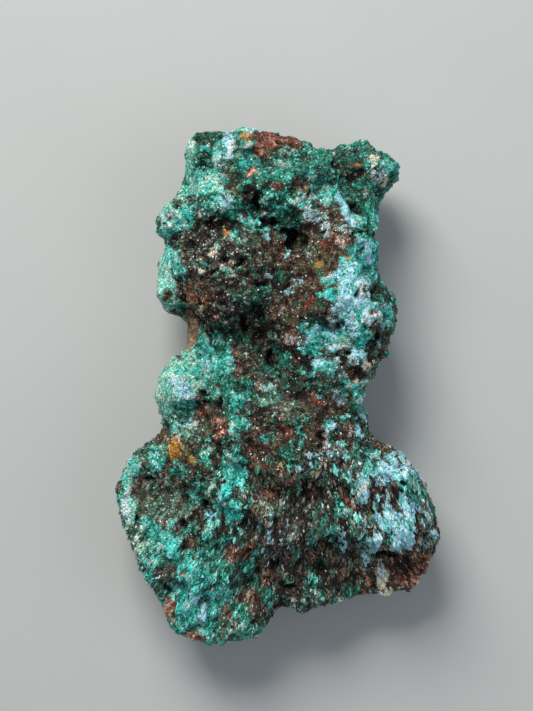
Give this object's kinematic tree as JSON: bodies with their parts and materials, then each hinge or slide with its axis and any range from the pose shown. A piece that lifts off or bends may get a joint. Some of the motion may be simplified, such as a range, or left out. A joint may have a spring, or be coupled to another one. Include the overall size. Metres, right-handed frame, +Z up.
{
  "type": "malachite specimen",
  "caption": "Rough natural malachite specimen, a lumpy and pitted waisted stone with a flared foot, lying on its broken back.",
  "frame": {"origin": "on the surface that the stone lies on, under the middle of its bounding box", "axes": "+Y along the stone from the flared foot towards the squarer end, +Z up out of the crystal-covered face, +X to the right seen from above with +Y away from the viewer"},
  "size_m": [0.0312, 0.05, 0.0153],
  "materials": {
    "malachite": "rough, finely crystalline, with dark pits and sparkling grains"
  },
  "bodies": {
    "root": {"malachite_stone": "malachite"}
  },
  "joints": []
}
